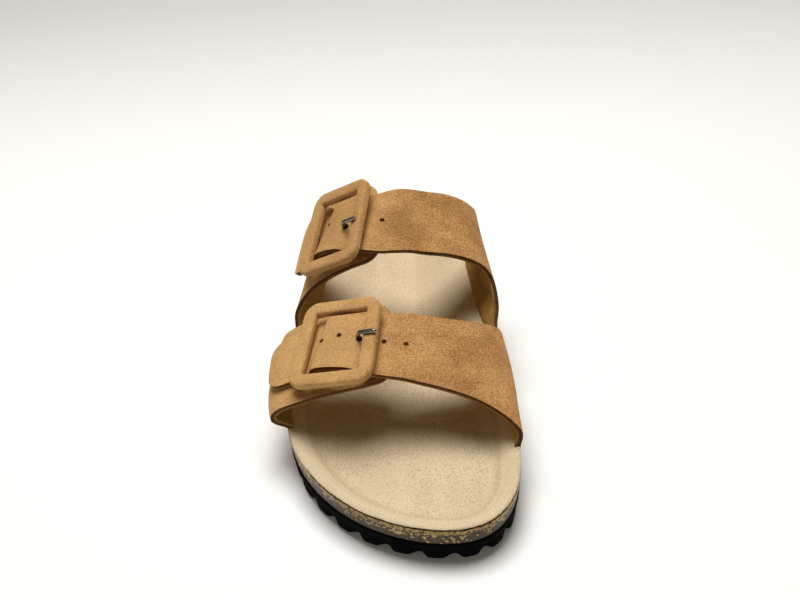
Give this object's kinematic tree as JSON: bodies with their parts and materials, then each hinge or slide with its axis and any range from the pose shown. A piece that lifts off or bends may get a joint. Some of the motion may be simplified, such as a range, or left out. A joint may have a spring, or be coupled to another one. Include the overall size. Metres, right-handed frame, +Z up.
{
  "type": "sandal",
  "caption": "Open sandal for a right foot: a contoured cork footbed on a lugged sole, with wide buckled suede straps over the foot.",
  "frame": {"origin": "middle of the bounding box at the ground, under the lugs' flat spots", "axes": "+Y from the toe to the heel, +X to the medial (big toe) side, +Z up"},
  "size_m": [0.109, 0.26, 0.1005],
  "materials": {
    "foam": "matte foam",
    "cork": "sealed granular cork",
    "insole_lining": "fine suede lining",
    "suede": "tan suede",
    "steel": "dark satin steel"
  },
  "bodies": {
    "root": {"outsole": "foam", "cork_footbed": "cork", "insole": "insole_lining", "medial_straps": "suede", "lateral_tabs": "suede", "front_buckle_frame": "suede", "rear_buckle_frame": "suede", "front_buckle_pin": "steel", "rear_buckle_pin": "steel"}
  },
  "joints": []
}
